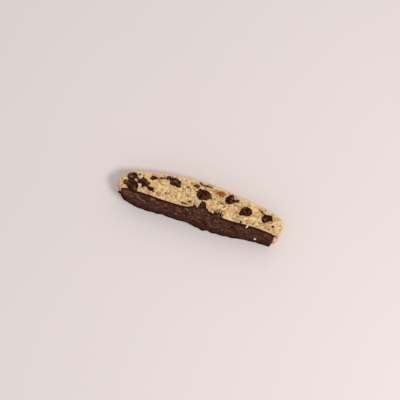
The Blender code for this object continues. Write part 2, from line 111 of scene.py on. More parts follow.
# Chocolate on the crumb, and painted shade in its deepest creases and pores.
SMEARS_AND_SHADE = (
    # Round the cluster at the left end, and from it down to the coat.
    Stroke(-64.6, -1.0, -63.1, -4.0, 1.5), Stroke(-60.1, 4.2, -56.9, 2.7, 0.9),
    Stroke(-57.1, 2.6, -54.1, 1.2, 0.9), Stroke(-62.4, 0.4, -60.6, 0.2, 0.9),
    Stroke(-57.6, -0.4, -56.2, 1.4, 0.8), Stroke(-61.6, -6.5, -60.1, -9.0, 1.6),
    Stroke(-57.0, -3.5, -56.2, -7.0, 0.8), Stroke(-58.8, -7.0, -58.2, -8.8, 1.2),
    Stroke(-60.4, 1.8, -57.8, 0.5, 1.3), Stroke(-65.8, -4.0, -62.8, -6.6, 1.3),
    # Arms and tail of the starry chip.
    Stroke(-53.9, 5.6, -52.2, 3.6, 0.7),
    Stroke(-52.8, -1.0, -52.2, -2.9, 0.7), Stroke(-49.1, 2.3, -47.4, 1.8, 0.9),
    Stroke(-49.6, -0.5, -46.4, -1.8, 0.9), Stroke(-46.4, -1.8, -43.6, -3.1, 0.8),
    Stroke(-42.9, -1.2, -43.6, -3.0, 0.9),
    # Slivers along the crown, left of its middle.
    Stroke(-47.6, 6.8, -42.6, 8.8, 0.75), Stroke(-40.1, 9.3, -38.0, 10.0, 0.75),
    Stroke(-38.0, 10.0, -36.4, 10.9, 0.5), Stroke(-33.4, 11.8, -29.6, 12.2, 1.0),
    Stroke(-22.4, 9.5, -21.3, 7.7, 0.9), Stroke(-29.6, 8.8, -24.8, 8.0, 0.8),
    # Round the large chip.
    Stroke(-9.2, 12.2, -6.2, 12.8, 0.9), Stroke(-10.5, 12.8, -10.2, 12.7, 0.4),
    Stroke(-7.2, 7.8, -5.4, 8.1, 0.45), Stroke(-4.2, 10.4, -3.2, 9.4, 0.8),
    Stroke(-3.4, 3.2, 0.8, 2.8, 0.6), Stroke(-5.2, -2.2, -4.6, -4.5, 0.5),
    # Beside the splash's peak.
    Stroke(1.2, 1.0, 4.2, 0.8, 0.6), Stroke(4.2, 0.6, 5.8, -2.4, 0.6),
    Stroke(0.2, -1.6, -0.4, -3.6, 0.4), Stroke(7.6, -4.0, 8.8, -5.4, 0.5),
    Stroke(10.2, -5.0, 10.8, -6.6, 0.5),
    # Right of the middle.
    Stroke(27.2, 9.5, 29.6, 10.3, 0.8), Stroke(29.6, 10.3, 31.0, 12.0, 0.55),
    Stroke(34.4, 1.2, 36.0, 2.0, 0.7), Stroke(51.4, 9.3, 52.8, 8.7, 0.6),
    Stroke(52.8, 8.7, 55.6, 6.9, 0.45), Stroke(60.9, 5.5, 63.2, 4.8, 0.8),
    Stroke(68.6, -8.2, 71.0, -8.7, 0.55),
    # Painted shade, dark as chocolate, in the deepest creases of the crown.
    Stroke(-5.4, 16.8, -3.8, 15.4, 0.6), Stroke(-3.4, 15.0, -2.0, 14.9, 0.45),
    Stroke(0.8, 15.4, 2.9, 15.7, 0.75), Stroke(2.9, 15.7, 4.8, 15.5, 0.45),
    # Painted shade in the deepest pores.
    Stroke(37.8, -5.0, 38.3, -5.5, 0.6), Stroke(65.5, -0.5, 65.7, -0.9, 0.4),
    Stroke(-9.6, -2.4, -8.7, -2.0, 0.3),
)
# Places where the crumb reaches into the starry chip, between its arms. The top of the chip is
# lowered there, and the crumb isn't, as if the chip's edge were far away.
NOTCH_DEPTH = 2.5
NOTCH_FLOOR = FACE - 3.0
CLEAR_OF_CHIPS = 6.0
NOTCHES = (
    Stroke(-49.6, 5.0, -49.3, 3.7, 0.8), Stroke(-55.0, -2.2, -54.3, -1.2, 0.9),
    Stroke(-49.9, -2.4, -49.2, -1.8, 0.6), Stroke(-47.0, 0.4, -46.4, 0.1, 0.5),
)
# Hollows in the crumb, which are also darkened as painted shade.
CRACKS = (
    # Creases along the middle of the crown.
    Stroke(-5.6, 17.0, -3.7, 15.3, 0.7), Stroke(-3.5, 14.9, 0.9, 15.1, 0.5),
    Stroke(0.9, 15.3, 2.9, 15.8, 0.75), Stroke(2.9, 15.8, 5.4, 15.3, 0.5),
    Stroke(0.9, 17.9, 7.9, 17.3, 0.2),
    # Holes.
    Stroke(-15.9, -5.2, -10.6, -5.3, 0.75), Stroke(-10.4, -2.6, -8.2, -1.9, 0.6),
    Stroke(16.9, 4.9, 17.7, 4.8, 0.55), Stroke(19.1, 4.5, 19.4, 4.4, 0.4),
    Stroke(-15.1, 9.6, -13.7, 9.0, 0.65),
    Stroke(-31.2, -1.5, -31.0, -1.4, 0.75), Stroke(-29.0, -1.2, -28.7, -1.1, 0.75),
    Stroke(-58.4, 7.1, -57.8, 7.3, 0.6), Stroke(65.3, -0.6, 65.7, -0.9, 0.85),
    Stroke(37.8, -5.0, 38.3, -5.5, 1.0), Stroke(63.0, 1.6, 63.3, 1.2, 0.6),
    Stroke(55.0, 11.4, 55.6, 10.6, 0.5), Stroke(46.9, 3.3, 47.6, 3.2, 0.5),
    Stroke(-17.8, 7.2, -17.4, 7.0, 0.5), Stroke(-12.2, 8.2, -11.8, 8.0, 0.5),
    Stroke(15.2, -4.2, 15.8, -1.6, 0.5), Stroke(17.4, -4.4, 18.0, -0.4, 0.5),
    Stroke(19.3, -4.2, 20.0, -1.2, 0.55), Stroke(13.8, -4.8, 13.4, -3.0, 0.5),
)
# Places where the crumb is baked or soaked to a rusty brown, and where it is pale.
BROWNED = (
    Stroke(10.4, 12.8, 17.4, 13.4, 1.9), Stroke(-68.3, -2.0, -64.6, -5.2, 1.7),
    Stroke(-9.6, 12.4, -6.1, 13.2, 1.6), Stroke(50.2, 10.0, 55.2, 7.4, 1.2),
    Stroke(-39.0, 9.8, -36.0, 11.0, 0.9), Stroke(24.9, 15.4, 27.9, 13.9, 0.6),
    Stroke(-5.0, 15.9, 5.2, 15.9, 0.7), Stroke(39.4, 9.7, 41.4, 10.3, 0.6),
)
PALE_BITS_AND_GLINT = (
    # The first is a painted highlight between the chips at the left end.
    Stroke(-59.9, 1.6, -58.5, 0.7, 0.9),
    Stroke(63.8, 1.0, 65.6, 1.0, 0.9), Stroke(-1.4, -2.4, -1.1, -5.0, 0.4),
    Stroke(-28.4, 14.0, -27.2, 14.4, 0.5), Stroke(57.0, 10.6, 60.2, 10.0, 1.5),
    Stroke(53.2, 2.8, 53.4, 1.6, 0.7), Stroke(-69.0, -9.6, -71.4, -10.6, 1.0),
)
# Places where the chips are a warmer brown.
WARM_CHIPS = (
    Stroke(-65.6, 4.8, -64.8, 3.2, 1.5), Stroke(5.6, 8.2, 6.6, 6.6, 1.1),
    Stroke(57.6, 3.9, 57.8, 2.8, 0.5), Stroke(-8.2, 12.4, -6.4, 13.2, 1.2),
)
# Places where chips or the coat catch the light, and dark and light marks on the coat.
GLINTS = (
    Stroke(-59.8, 1.8, -58.4, 0.8, 0.8), Stroke(-27.2, 11.0, -26.2, 10.7, 0.5),
    Stroke(-57.6, -5.5, -59.0, -7.2, 0.3), Stroke(-29.8, 9.8, -29.5, 9.6, 0.3),
    Stroke(0.0, -5.8, 1.0, -8.6, 0.2), Stroke(57.4, 3.6, 57.0, 2.6, 0.2),
    Stroke(-64.0, 2.8, -63.4, 3.0, 0.5), Stroke(24.8, 12.4, 25.2, 11.4, 0.4),
    Stroke(-40.6, -10.9, -38.8, -10.6, 0.7), Stroke(-28.6, -12.2, -27.4, -12.0, 0.4),
    Stroke(-10.6, -9.6, -7.8, -10.2, 0.5), Stroke(-5.6, -11.6, -5.0, -12.6, 0.4),
    Stroke(3.0, -6.2, 4.0, -6.8, 0.6), Stroke(15.8, -11.2, 17.2, -11.4, 0.3),
    Stroke(25.0, -17.5, 25.6, -17.4, 0.4), Stroke(27.9, -17.8, 28.2, -17.8, 0.4),
    Stroke(-17.6, -16.6, -16.4, -16.5, 0.5), Stroke(-56.0, -11.1, -52.5, -11.6, 0.4),
    Stroke(-49.6, -14.2, -45.6, -14.6, 0.4), Stroke(-52.6, -13.2, -50.0, -13.6, 0.35),
    Stroke(-60.6, -13.6, -57.0, -13.8, 0.35), Stroke(-36.0, -12.6, -33.6, -12.4, 0.35),
)
DARK_COAT = (
    Stroke(-58.0, -12.6, -54.0, -12.4, 0.4), Stroke(-47.5, -12.9, -43.6, -13.1, 0.4),
    Stroke(-37.4, -15.6, -33.0, -14.8, 0.4), Stroke(-25.4, -14.6, -24.4, -15.0, 0.5),
    Stroke(-62.0, -12.2, -59.6, -12.4, 0.3), Stroke(-55.2, -14.6, -50.4, -15.2, 0.35),
    Stroke(-30.6, -13.6, -27.6, -13.4, 0.35), Stroke(-9.4, -11.4, -6.4, -11.8, 0.5),
    Stroke(36.0, -14.2, 43.0, -14.6, 0.4), Stroke(62.6, -12.4, 63.6, -12.8, 0.4),
)
LIGHT_COAT = (
    Stroke(-66.6, -10.4, -58.6, -11.5, 1.3), Stroke(-65.6, -13.0, -62.6, -13.9, 0.9),
)
# The stretch of the splash where the crumb shows through.
POROUS = (Stroke(11.5, -5.2, 20.4, -4.4, 2.5),)

# Loose crumbs on the coat: the place, the turn in degrees and the size of each.
Crumb = namedtuple("Crumb", "x y turn length width")
LOOSE_CRUMBS = (
    Crumb(44.7, -8.0, 66.0, 3.4, 1.4), Crumb(54.4, -16.6, 4.0, 2.2, 1.2),
)

# How far the coat's foot stands out (+) or is drawn in (-) at a place along X.
Lobe = namedtuple("Lobe", "x reach width")
FOOT_LOBES = (
    Lobe(-44.0, 0.45, 4.0), Lobe(-30.0, -0.6, 2.6), Lobe(-22.5, 0.4, 2.5),
    Lobe(-8.0, -0.7, 2.6), Lobe(7.5, 0.7, 1.8), Lobe(16.5, 0.4, 2.6), Lobe(34.0, 0.5, 3.0),
    Lobe(12.0, -0.4, 1.6), Lobe(61.0, -0.3, 4.0), Lobe(-66.0, 0.8, 3.0),
    Lobe(68.6, 0.5, 2.6), Lobe(44.0, -0.5, 3.0),
)

# Where the right end of the coat stands out.
Bulge = namedtuple("Bulge", "x y reach width")
END_BULGE = Bulge(69.0, -15.8, 1.0, 2.2)

# Chocolate that ran out at the foot of the coat's left end.
RUN_OUT_MIDDLE = Vector((-70.9, -9.8, 0.9))
RUN_OUT_HALF_SIZE = Vector((2.5, 1.0, 0.9))


# Repeatable noise on points in millimetres.

def cell_values(cells, seed):
    """Three values from 0 to 1 for each whole-numbered cell, the same on every run."""
    bits = cells.astype(np.int64) @ np.array([73856093, 19349663, 83492791]) + seed * 7919
    for _ in range(2):
        bits = ((bits ^ (bits >> 16)) * 0x45D9F3B) & 0xFFFFFFFF
    bits ^= bits >> 16
    return np.stack([(bits >> shift) & 1023 for shift in (0, 10, 20)], -1) / 1023.0


def swell(points, size, seed):
    """Smooth noise from -1 to 1 whose lumps are about size across."""
    scaled = points / size
    low = np.floor(scaled)
    share = scaled - low
    share = share * share * (3.0 - 2.0 * share)
    total = np.zeros(len(points))
    for corner in np.ndindex(2, 2, 2):
        weight = np.prod(np.where(corner, share, 1.0 - share), axis=1)
        total += weight * cell_values(low + corner, seed)[:, 0]
    return 2.0 * total - 1.0


def rough(points, size, seed, octaves=3):
    """Smooth noise with finer noise on it, about -1 to 1."""
    return sum(swell(points, size / 2 ** k, seed + k) / 2 ** k for k in range(octaves)) / 1.5


def grains(points, size, seed):
    """For each point: how far its nearest grain is, how much further the next one is, both in
    grains, and the nearest grain's value from 0 to 1.
    """
    scaled = points / size
    low = np.floor(scaled)
    nearest = np.full(len(points), 9.0)
    second = np.full(len(points), 9.0)
    value = np.zeros(len(points))
    for corner in np.ndindex(3, 3, 3):
        cells = low + np.array(corner) - 1.0
        values = cell_values(cells, seed)
        away = np.linalg.norm(scaled - cells - values, axis=1)
        closer = away < nearest
        second = np.where(closer, nearest, np.minimum(second, away))
        value = np.where(closer, cell_values(cells, seed + 31)[:, 0], value)
        nearest = np.where(closer, away, nearest)
    return nearest, second - nearest, value


def ease(x):
    """0 below 0, 1 above 1, and smooth between."""
    x = np.clip(x, 0.0, 1.0)
    return x * x * (3.0 - 2.0 * x)


def warped(points, size, amount, seed):
    """The points, each moved by smooth noise, so that what is laid on them is irregular."""
    return points + amount * np.stack([swell(points, size, seed + k) for k in range(3)], -1)


def covered(points, strokes, soft=0.4, ragged=0.3, seed=97):
    """How far each point is covered by strokes: 1 inside them, 0 outside, soft between."""
    wobble = ragged * rough(points, 1.5, seed)
    cover = np.zeros(len(points))
    for stroke in strokes:
        start = np.array([stroke.x1, stroke.y1])
        along = np.array([stroke.x2, stroke.y2]) - start
        share = np.clip((points[:, :2] - start) @ along / (along @ along), 0.0, 1.0)
        away = np.linalg.norm(points[:, :2] - start - share[:, None] * along, axis=1)
        cover = np.maximum(cover, ease((stroke.half + wobble - away) / soft + 0.5))
    return cover


# Meshes as arrays, in millimetres.

def read_points(mesh):
    """The places of a mesh's vertices."""
    points = np.empty(len(mesh.vertices) * 3, np.float32)
    mesh.vertices.foreach_get("co", points)
    return points.reshape(-1, 3).astype(float) / MM


def write_points(mesh, points):
    """Move a mesh's vertices."""
    mesh.vertices.foreach_set("co", (points * MM).astype(np.float32).ravel())
    mesh.update()


def read_normals(mesh):
    """The way out of the surface at each vertex."""
    normals = np.empty(len(mesh.vertices) * 3, np.float32)
    mesh.vertex_normals.foreach_get("vector", normals)
    return normals.reshape(-1, 3).astype(float)


def smoothed(mesh, values, rounds):
    """Values on the vertices, each pulled towards the mean of its neighbours."""
    edges = np.empty(len(mesh.edges) * 2, np.int32)
    mesh.edges.foreach_get("vertices", edges)
    one, other = edges.reshape(-1, 2).T
    count = np.bincount(edges, minlength=len(mesh.vertices))[:, None]
    values = values.reshape(len(mesh.vertices), -1)
    for _ in range(rounds):
        total = np.zeros_like(values)
        for column in range(values.shape[1]):
            total[:, column] = (
                np.bincount(one, values[other, column], len(values))
                + np.bincount(other, values[one, column], len(values)))
        values = 0.4 * values + 0.6 * total / count
    return values


def store(mesh, **values):
    """Keep values, one for each vertex or one for all, where materials read them by name."""
    for name, value in values.items():
        attribute = mesh.attributes.new(name, "FLOAT", "POINT")
        each = np.broadcast_to(np.float32(value), len(mesh.vertices))
        attribute.data.foreach_set("value", np.ascontiguousarray(each))


def new_object(name, data):
    """An object in the scene for a mesh, a light or a camera."""
    thing = bpy.data.objects.new(name, data)
    bpy.context.scene.collection.objects.link(thing)
    return thing


def node_bmesh(name):
    """A CAD node's mesh with its corners joined."""
    bm = bmesh.new()
    bm.from_mesh(NODES[name].data)
    bmesh.ops.remove_doubles(bm, verts=bm.verts, dist=1e-6)
    bm.normal_update()
    return bm


def remeshed(name, bm, voxel):
    """An object with one even, smoothed skin of quads over everything in a bmesh."""
    rough_mesh = bpy.data.meshes.new(name)
    bm.to_mesh(rough_mesh)
    bm.free()
    thing = new_object(name, rough_mesh)
    remesh = thing.modifiers.new("remesh", "REMESH")
    remesh.mode = "VOXEL"
    remesh.voxel_size = voxel * MM
    depsgraph = bpy.context.evaluated_depsgraph_get()
    mesh = bpy.data.meshes.new_from_object(thing.evaluated_get(depsgraph))
    thing.modifiers.clear()
    thing.data = mesh
    bpy.data.meshes.remove(rough_mesh)
    mesh.materials.clear()
    write_points(mesh, smoothed(mesh, read_points(mesh), SMOOTHING))
    return thing


def finish_piece(thing, material, slot, *replaced):
    """Shade a piece smooth and tie it to the frame."""
    thing.data.shade_smooth()
    thing.data.materials.append(material)
    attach(thing, "root")
    if replaced:
        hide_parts(*replaced)


# Shader nodes.

def srgb(red, green, blue):
    """A linear colour from one in 0 to 255 as a screen shows it."""
    channels = [c / 255.0 for c in (red, green, blue)]
    return tuple(c / 12.92 if c <= 0.04045 else ((c + 0.055) / 1.055) ** 2.4
                 for c in channels) + (1.0,)


def feed(tree, socket, value):
    """Give a socket a link from another node, or a value of its own."""
    if isinstance(value, bpy.types.NodeSocket):
        tree.links.new(value, socket)
    else:
        socket.default_value = value


def add_node(tree, kind, **inputs):
    """A shader node with some of its inputs."""
    made = tree.nodes.new("ShaderNode" + kind)
    for key, value in inputs.items():
        feed(tree, made.inputs[key], value)
    return made


def stored(tree, name):
    """The value that store() kept under a name."""
    made = add_node(tree, "Attribute")
    made.attribute_name = name
    return made.outputs["Fac"]


def fine_noise(tree, size, detail, stretch=(1.0, 1.0, 1.0)):
    """Noise from 0 to 1 in the object's own space, with lumps of a size in millimetres."""
    place = add_node(tree, "TexCoord").outputs["Object"]
    scale = tuple(1.0 / (size * MM * s) for s in stretch)
    scaled = add_node(tree, "Mapping", Vector=place, Scale=scale).outputs["Vector"]
    return add_node(tree, "TexNoise", Vector=scaled, Scale=1.0, Detail=detail).outputs["Fac"]


def spread(tree, value, low, high, to_low=0.0, to_high=1.0):
    """A value's range from low to high, stretched to another and clamped."""
    made = add_node(tree, "MapRange", Value=value)
    for key, limit in (("From Min", low), ("From Max", high), ("To Min", to_low),
                       ("To Max", to_high)):
        made.inputs[key].default_value = limit
    return made.outputs["Result"]


def mixed(tree, share, first, second):
    """Two colours mixed by a share from 0 to 1."""
    made = tree.nodes.new("ShaderNodeMix")
    made.data_type = "RGBA"
    # A Mix node has its sockets for colours after those for numbers and vectors.
    for number, value in ((0, share), (6, first), (7, second)):
        feed(tree, made.inputs[number], value)
    return made.outputs[2]


def worked_out(tree, operation, first, second):
    """A Math node's result for two values."""
    made = tree.nodes.new("ShaderNodeMath")
    made.operation = operation
    feed(tree, made.inputs[0], first)
    feed(tree, made.inputs[1], second)
    return made.outputs[0]


def laid(tree, tone, share, colour, most=1.0):
    """A tone with a colour laid over it by a share from 0 to 1, times the most it may cover."""
    if most < 1.0:
        share = worked_out(tree, "MULTIPLY", share, most)
    return mixed(tree, share, tone, colour)


def surface(name):
    """A new Principled material: the material, its tree and its shader."""
    material = bpy.data.materials.new(name)
    material.use_nodes = True
    return material, material.node_tree, material.node_tree.nodes["Principled BSDF"]


def bump(tree, shader, height, distance):
    """Fine relief from a value, distance millimetres deep."""
    made = add_node(tree, "Bump", Height=height, Strength=1.0, Distance=distance * MM)
    tree.links.new(made.outputs["Normal"], shader.inputs["Normal"])


def let_light_in(shader, share, radius, scale):
    """Light scattered under the surface: its share, and how far it goes, in millimetres."""
    shader.inputs["Subsurface Weight"].default_value = share
    shader.inputs["Subsurface Radius"].default_value = radius
    shader.inputs["Subsurface Scale"].default_value = scale * MM


def chocolate_gloss(shader, gloss, gloss_roughness):
    """A thin gloss over dull chocolate, which so stays dark where it is seen at a low angle."""
    shader.inputs["Specular IOR Level"].default_value = 0.0
    shader.inputs["Coat Weight"].default_value = gloss
    shader.inputs["Coat Roughness"].default_value = gloss_roughness


# Materials.

def crumb_material():
    material, tree, shader = surface("crumb")
    grain = fine_noise(tree, 0.5, 3.0)
    patch = fine_noise(tree, 7.0, 4.0)
    # The torn crumb, with warm and cool patches and light grains.
    tone = mixed(tree, stored(tree, "tone"), srgb(154, 104, 52), srgb(254, 224, 172))
    tone = laid(tree, tone, spread(tree, patch, 0.48, 0.62), srgb(224, 166, 102), 0.45)
    tone = laid(tree, tone, spread(tree, patch, 0.46, 0.34), srgb(212, 186, 132), 0.3)
    tone = laid(tree, tone, spread(tree, grain, 0.35, 0.65), srgb(250, 222, 174), 0.2)
    # The crust: pale at the cut's edges and baked on the walls, darker in patches.
    crust = mixed(tree, stored(tree, "bake"), srgb(224, 192, 168), srgb(204, 152, 94))
    browned = worked_out(tree, "MULTIPLY", stored(tree, "bake"), spread(tree, patch, 0.44, 0.62))
    crust = laid(tree, crust, browned, srgb(164, 102, 52), 0.8)
    crust = laid(tree, crust, spread(tree, grain, 0.45, 0.7), srgb(240, 206, 164), 0.35)
    tone = laid(tree, tone, stored(tree, "crust"), crust)
    # Marks on both.
    tone = laid(tree, tone, stored(tree, "rust"), srgb(172, 100, 40))
    # Painted shade in the pores, holes and cracks.
    tone = laid(tree, tone, stored(tree, "hollow"), srgb(84, 54, 24))
    # Chocolate stains, with painted shade along the coat's edge and in the deepest creases and
    # pores.
    tone = laid(tree, tone, stored(tree, "stain"), srgb(46, 18, 7))
    # Pale bits of crumb, and a painted highlight.
    tone = laid(tree, tone, stored(tree, "pale"), srgb(246, 212, 196), 0.6)
    tree.links.new(tone, shader.inputs["Base Color"])
    shader.inputs["Roughness"].default_value = 0.85
    shader.inputs["Specular IOR Level"].default_value = 0.12
    let_light_in(shader, 0.08, (1.0, 0.6, 0.35), 0.8)
    bump(tree, shader, grain, 0.12)
    return material


def coat_material():
    material, tree, shader = surface("coating")
    streak = fine_noise(tree, 1.2, 2.0, stretch=(5.0, 1.0, 1.0))
    cloud = fine_noise(tree, 3.0, 3.0, stretch=(2.6, 1.0, 1.0))
    speck = fine_noise(tree, 0.9, 2.0)
    # Streaks along the slice, with dark and light clouds and specks.
    tone = mixed(tree, spread(tree, streak, 0.38, 0.62), srgb(30, 9, 4), srgb(98, 61, 48))
    tone = laid(tree, tone, spread(tree, cloud, 0.48, 0.64), srgb(44, 22, 16), 0.5)
    tone = laid(tree, tone, spread(tree, cloud, 0.48, 0.3), srgb(98, 64, 52), 0.3)
    tone = laid(tree, tone, spread(tree, speck, 0.54, 0.64), srgb(118, 84, 74), 0.55)
    tone = laid(tree, tone, spread(tree, speck, 0.44, 0.34), srgb(26, 7, 3), 0.5)
    # Painted shade on the outer wall, the upper edge and the foot; marks on the upper cut face;
    # glints.
    # Painted shade: the outer wall a little darker.
    tone = laid(tree, tone, stored(tree, "wall"), srgb(56, 26, 14), 0.25)
    tone = laid(tree, tone, stored(tree, "light"), srgb(112, 72, 52))
    # Painted shade as a dark line along the upper edge, with real dark marks on the coat.
    tone = laid(tree, tone, stored(tree, "lip"), srgb(46, 16, 2))
    # Painted shade: darker towards the foot.
    tone = laid(tree, tone, stored(tree, "foot"), srgb(20, 5, 1), 0.9)
    tone = laid(tree, tone, stored(tree, "glint"), srgb(142, 106, 96), 0.6)
    tree.links.new(tone, shader.inputs["Base Color"])
    tree.links.new(spread(tree, cloud, 0.3, 0.7, 0.6, 0.8), shader.inputs["Roughness"])
    chocolate_gloss(shader, 0.035, 0.35)
    fine_speck = worked_out(tree, "MULTIPLY", speck, 0.4)
    bump(tree, shader, worked_out(tree, "ADD", streak, fine_speck), 0.2)
    return material


def chip_material():
    material, tree, shader = surface("chip")
    cloud = fine_noise(tree, 1.9, 3.0)
    speck = fine_noise(tree, 0.5, 2.0)
    # Darker towards the edge, with light and dark clouds where the knife dragged.
    tone = mixed(tree, stored(tree, "core"), srgb(36, 10, 0), srgb(60, 25, 12))
    tone = laid(tree, tone, spread(tree, cloud, 0.5, 0.6), srgb(98, 60, 48), 0.75)
    tone = laid(tree, tone, spread(tree, cloud, 0.5, 0.4), srgb(26, 6, 0), 0.8)
    tone = laid(tree, tone, stored(tree, "warm"), srgb(108, 66, 36), 0.7)
    tone = laid(tree, tone, stored(tree, "glint"), srgb(158, 124, 116), 0.65)
    tree.links.new(tone, shader.inputs["Base Color"])
    tree.links.new(spread(tree, speck, 0.3, 0.7, 0.5, 0.8), shader.inputs["Roughness"])
    chocolate_gloss(shader, 0.08, 0.3)
    bump(tree, shader, speck, 0.16)
    return material


def amber_material():
    material, tree, shader = surface("amber")
    cloud = fine_noise(tree, 1.5, 3.0)
    tone = mixed(tree, spread(tree, cloud, 0.35, 0.65), srgb(124, 60, 12), srgb(172, 102, 40))
    tone = laid(tree, tone, stored(tree, "dark"), srgb(74, 34, 2), 0.75)
    tree.links.new(tone, shader.inputs["Base Color"])
    shader.inputs["Roughness"].default_value = 0.42
    shader.inputs["Specular IOR Level"].default_value = 0.12
    let_light_in(shader, 0.25, (1.0, 0.4, 0.12), 1.0)
    bump(tree, shader, cloud, 0.2)
    return material


def floor_material():
    material, tree, shader = surface("floor")
    cloud = fine_noise(tree, 160.0, 1.0)
    tone = mixed(tree, cloud, srgb(231, 221, 219), srgb(234, 224, 222))
    tree.links.new(tone, shader.inputs["Base Color"])
    shader.inputs["Roughness"].default_value = 0.55
    shader.inputs["Specular IOR Level"].default_value = 0.2
    return material


# Where the chips meet the cut faces.

def in_order(ring):
    """The points of a ring, each once and counter-clockwise."""
    ring = np.unique(ring.round(3), axis=0)
    middle = ring.mean(0)
    return ring[np.argsort(np.arctan2(*(ring - middle).T[::-1]))]


def section_ring(name, level):
    """The corners of a node at a height."""
    points = read_points(NODES[name].data)
    return in_order(points[np.abs(points[:, 2] - level) < SAME_LEVEL][:, :2])


def loaf_outline(level, chips):
    """The outline of the crumb at a height, without the corners of its chips' pockets."""
    ring = section_ring("cookie", level)
    outer = np.ones(len(ring), dtype=bool)
    for name in chips:
        low, high = (np.array(corner.xy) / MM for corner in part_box(name))
        outer &= ~np.all((ring > low - POCKET_MARGIN) & (ring < high + POCKET_MARGIN), axis=1)
    return in_order(ring[outer])


def cut_ring(name):
    """The outline of a chip where the cut went through it."""
    low, high = (corner.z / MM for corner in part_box(name))
    return section_ring(name, low if name in LOWER_CHIPS else high)


def depth_inside(points, ring):
    """How far inside a ring each point is, negative outside."""
    nearest = np.full(len(points), 1e9)
    crossings = np.zeros(len(points), int)
    for here, there in zip(ring, np.roll(ring, -1, axis=0)):
        along = there - here
        share = np.clip((points - here) @ along / (along @ along), 0.0, 1.0)
        nearest = np.minimum(nearest, np.linalg.norm(points - here - share[:, None] * along,
                                                     axis=1))
        between = (here[1] > points[:, 1]) != (there[1] > points[:, 1])
        rise = along[1] if along[1] else 1e-9
        cross_x = here[0] + (points[:, 1] - here[1]) * along[0] / rise
        crossings += between & (points[:, 0] < cross_x)
    return np.where(crossings % 2 == 1, nearest, -nearest)


# The crumb and crust.

def crumb_bmesh():
    """The cookie with its chips' pockets filled, so that chips can be let in closely."""
    bm = node_bmesh("cookie")
    for name in UPPER_CHIPS + UPPER_BITS + LOWER_CHIPS:
        plug = node_bmesh(name)
        for vert in plug.verts:
            vert.co += vert.normal * POCKET_FILL * MM
            vert.co.z = min(max(vert.co.z, 0.0), FILL_TOP * MM)
        mesh = bpy.data.meshes.new("plug")
        plug.to_mesh(mesh)
        plug.free()
        bm.from_mesh(mesh)
        bpy.data.meshes.remove(mesh)
    return bm


def pores(points, size, seed, wanted):
    """Irregular holes: 1 in their middle, 0 outside. wanted is the share of grains that are."""
    near, _, value = grains(warped(points, size, 0.35 * size, seed + 50), size, seed)
    return ease((0.46 - near) / 0.3) * (value < wanted)


def crumb_relief(points):
    """Height of the torn crumb, a tone with painted light on grains, and painted shade in pores."""
    near, _, value = grains(warped(points, 1.6, 0.45, 101), 1.9, 3)
    fine_near, _, fine_value = grains(warped(points, 1.0, 0.25, 105), 1.2, 7)
    large, small = pores(points, 2.7, 11, 0.30), pores(points, 1.5, 13, 0.32)
    relief = (0.18 * rough(points, 6.0, 17) + 0.12 * rough(points, 2.0, 19)
              + 0.28 * (0.5 - near) + 0.24 * (0.5 - fine_near)
              - 0.60 * large - 0.50 * small)
    # The tone varies at random, and is painted lighter on the raised grains.
    tone = (0.50 + 0.50 * (value - 0.5) + 0.75 * (fine_value - 0.5)
            + 0.35 * rough(points, 1.8, 23) + 0.15 * rough(points, 9.0, 29)
            + 0.35 * (0.5 - fine_near))
    hollow = np.clip(0.50 * large + 0.5 * small, 0.0, 1.0)
    return relief, np.clip(tone, 0.0, 1.0), hollow


def crust_relief(points, wall):
    """Height of the wrinkled crust, and the hollowness of its pits and fine cracks, as painted
    shade.
    """
    pits = pores(points, 2.4, 45, 0.12) * wall
    _, border, _ = grains(warped(points, 2.2, 1.5, 107), 6.0, 49)
    cracks = ease(1.4 - border / 0.06) * ease(0.35 + 1.8 * rough(points, 4.5, 109)) * wall
    relief = (0.38 * rough(points, 8.0, 41) + 0.22 * rough(points, 2.2, 43)
              - 0.5 * pits - 0.35 * cracks)
    return relief, np.maximum(0.4 * pits, 0.32 * cracks)


def crust_share(mesh, points, normals, upper):
    """How far each point is crust: 1 on the walls and round their rims, 0 on the torn crumb."""
    level = np.abs(smoothed(mesh, np.abs(normals[:, 2]), 2)[:, 0])
    rim_depth = np.where(upper,
                         depth_inside(points[:, :2], loaf_outline(RIM, UPPER_CHIPS + UPPER_BITS)),
                         depth_inside(points[:, :2], loaf_outline(FOOT, LOWER_CHIPS)))
    # The rim of crust is wider along the crown.
    band = 1.7 + 0.8 * ease((points[:, 1] - 8.0) / 6.0)
    rim = ease((band + 0.5 * rough(points, 3.0, 53) - rim_depth) / 1.5)
    return np.maximum(ease((0.80 - level) / 0.35), rim) * ease((band + 0.2 - rim_depth) / 0.3)


def chip_edges(points, upper, crust):
    """How deep the crumb drops under its chips, and the chocolate rubbed off round them."""
    drop, halo = np.zeros(len(points)), np.zeros(len(points))
    wobble = 0.45 * rough(points, 1.7, 59)
    notch = covered(points, NOTCHES) * upper
    for name in UPPER_CHIPS + UPPER_BITS + LOWER_CHIPS:
        side = ~upper if name in LOWER_CHIPS else upper
        inside = depth_inside(points[side][:, :2], cut_ring(name)) + wobble[side]
        inside -= CLEAR_OF_CHIPS * notch[side]
        drop[side] += 0.9 * ease((inside + 0.15) / 0.4) * (1.0 - crust[side])
        if name not in UPPER_BITS:
            rubbed = 0.85 * np.exp(-np.clip(-inside, 0.0, None) / 0.4)
            halo[side] = np.maximum(halo[side], rubbed)
    return drop, halo


def torn(points):
    """Where the splash is torn open: 1 inside holes drawn out along Y, 0 outside."""
    return ease(0.5 + 2.5 * rough(points * np.array([1.0, 0.45, 1.0]), 1.1, 37))


def above_dip(points):
    """How far above the coat's edge on the upper cut face points are, and which are along it."""
    coat = read_points(NODES["chocolate_coat"].data)
    top = np.unique(coat[np.abs(coat[:, 2] - COAT_TOP) < 0.01][:, :2].round(3), axis=0)
    # Of the two long edges of the coat's flat top, only the upper one is wanted.
    edge = top[top[:, 1] > COAT_MIDDLE]
    edge_x, edge_y = edge[np.argsort(edge[:, 0])].T
    above = points[:, 1] - np.interp(points[:, 0], edge_x, edge_y)
    return above, (points[:, 0] > edge_x[0]) & (points[:, 0] < edge_x[-1])


